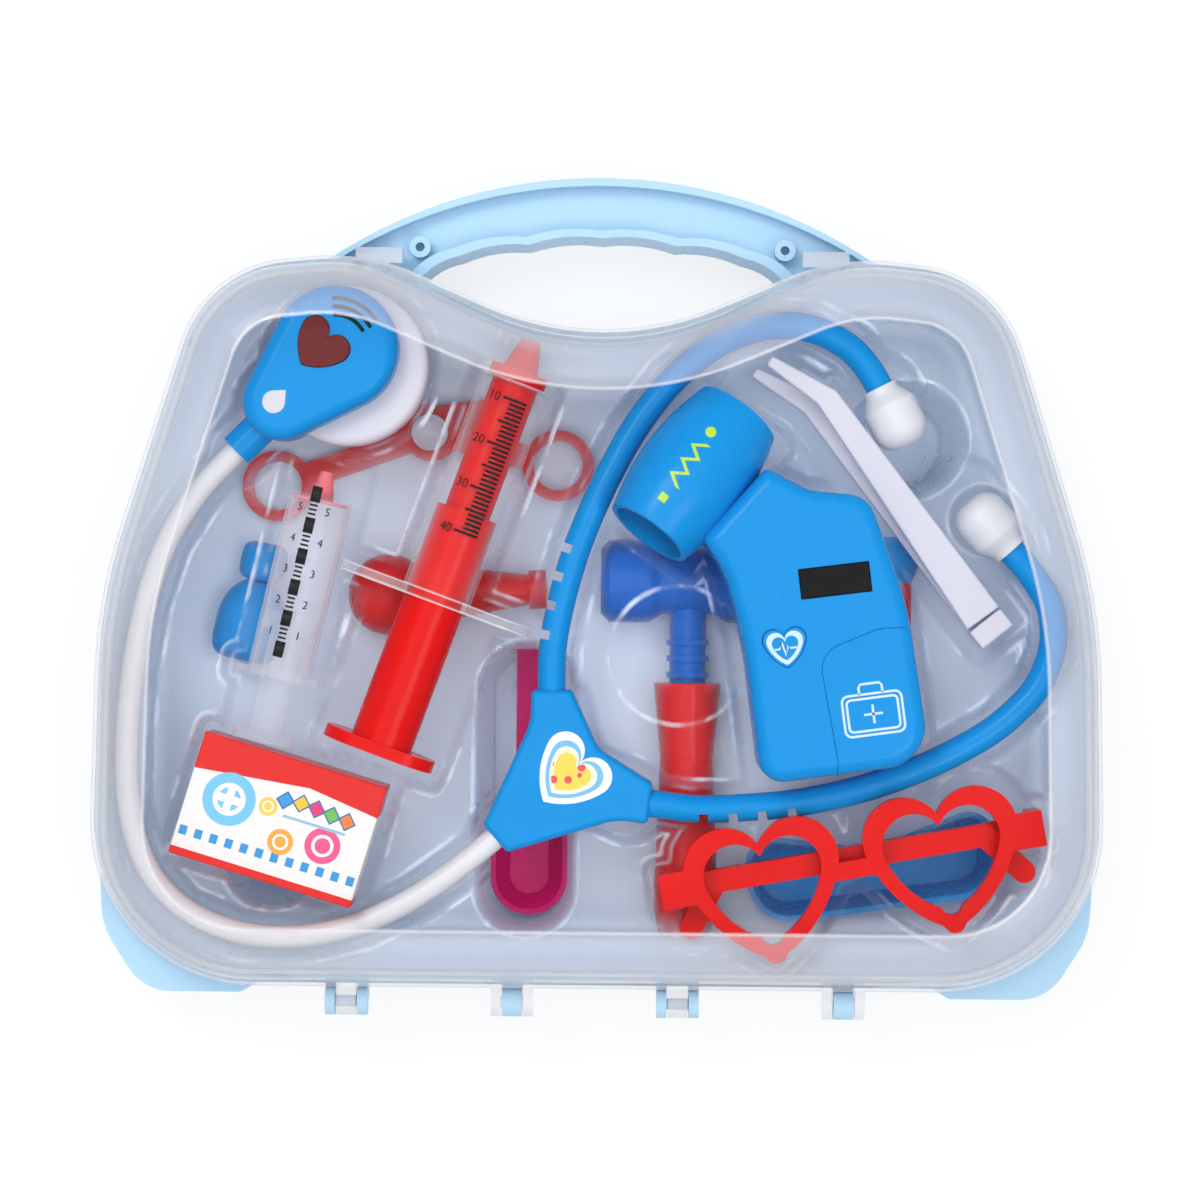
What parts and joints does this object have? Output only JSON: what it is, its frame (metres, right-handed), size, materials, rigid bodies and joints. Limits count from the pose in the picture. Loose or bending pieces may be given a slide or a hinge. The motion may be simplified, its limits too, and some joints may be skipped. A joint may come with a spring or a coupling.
{
  "type": "toy doctor case",
  "caption": "Toy doctor case with a clear hinged lid, moulded handle and a tray of play medical tools: stethoscope, syringe, thermometer, tweezers and heart glasses.",
  "frame": {"origin": "under the middle of the case, on the plane of its back face", "axes": "+Z from the back face towards the clear lid, +Y towards the handle, +X to the right seen through the lid"},
  "size_m": [0.283, 0.2362, 0.066],
  "materials": {
    "shell_blue": "smooth",
    "clear": "clear",
    "card": "matte",
    "toy_blue": "smooth",
    "toy_red": "smooth",
    "toy_white": "smooth",
    "dark_red": "smooth",
    "deep_blue": "smooth",
    "pink": "smooth",
    "tube_white": "soft",
    "display_black": "glossy",
    "board_green": "matte",
    "steel": "brushed",
    "carton": "printed",
    "label": "printed"
  },
  "bodies": {
    "case": {"back_shell": "shell_blue", "backing_card": "card", "blister_tray": "clear", "chest_base": "toy_white", "chest_back_plate": "toy_white", "chest_cover": "toy_blue", "chest_drop_inlay": "toy_white", "chest_board": "board_green", "chest_cells": "steel", "chest_speaker": "steel", "chest_screws": "steel", "stethoscope_tube": "tube_white", "y_junction": "toy_blue", "y_label": "label", "upper_arm": "toy_blue", "right_arm": "toy_blue", "upper_ear_tip": "tube_white", "right_ear_tip": "tube_white", "syringe_barrel": "clear", "syringe_core": "toy_red", "dropper_barrel": "clear", "dropper_tip": "pink", "carton_sleeve": "carton", "carton_end_flaps": "carton", "gun_front_shell": "toy_blue", "gun_back_shell": "toy_blue", "gun_nose": "toy_blue", "gun_lamp": "pink", "gun_display": "display_black", "gun_battery_door": "toy_blue", "gun_board": "board_green", "gun_cells": "steel", "gun_screws": "steel", "tweezers_fixed_arm": "toy_white", "glasses_frame": "toy_red", "glasses_left_temple": "toy_red", "glasses_right_temple": "toy_red", "glasses_hinge_pins": "steel", "hammer_head": "deep_blue", "hammer_handle": "toy_red", "scissors_lever_a": "toy_red", "scissors_rivet": "toy_white", "squeeze_bulb": "toy_red", "bottle": "toy_blue", "bottle_cap": "toy_white", "kidney_dish": "toy_blue", "otoscope_handle": "toy_red", "otoscope_head": "toy_blue", "spoon": "toy_red"},
    "lid": {"front_cover": "clear"},
    "syringe_plunger": {"syringe_plunger": "toy_red"},
    "dropper_plunger": {"dropper_plunger": "clear"},
    "chest_button": {"chest_heart_button": "dark_red"},
    "gun_key": {"gun_heart_key": "toy_blue"},
    "tweezers_arm": {"tweezers_moving_arm": "toy_white"},
    "scissors_lever": {"scissors_lever_b": "toy_red"}
  },
  "joints": [
    {"name": "lid_hinge", "type": "hinge", "parent": "case", "child": "lid", "pos_m": [0, -0.1142, 0.034], "axis": [1, 0, 0], "range_deg": [0, 180]},
    {"name": "syringe_slide", "type": "slide", "parent": "case", "child": "syringe_plunger", "axis": [0.3404, 0.9403, 0], "range_m": [0, 0.036]},
    {"name": "dropper_slide", "type": "slide", "parent": "case", "child": "dropper_plunger", "axis": [0.225, 0.9744, 0], "range_m": [0, 0.015]},
    {"name": "chest_button_press", "type": "slide", "parent": "case", "child": "chest_button", "axis": [0, 0, -1], "range_m": [0, 0.001], "stiffness_N_per_m": 600, "springref_m": -0.0005},
    {"name": "gun_key_press", "type": "slide", "parent": "case", "child": "gun_key", "axis": [0, 0, -1], "range_m": [0, 0.001], "stiffness_N_per_m": 600, "springref_m": -0.0005},
    {"name": "tweezers_squeeze", "type": "hinge", "parent": "case", "child": "tweezers_arm", "pos_m": [0.10801, -0.0059, 0.0338], "axis": [-0.7771, -0.6293, 0], "range_deg": [0, 7], "stiffness_Nm_per_rad": 0.6, "springref_deg": -1.15},
    {"name": "scissors_pivot", "type": "hinge", "parent": "case", "child": "scissors_lever", "pos_m": [-0.04902, 0.0463, 0.0079], "axis": [0, 0, 1], "range_deg": [-25, 0]}
  ]
}
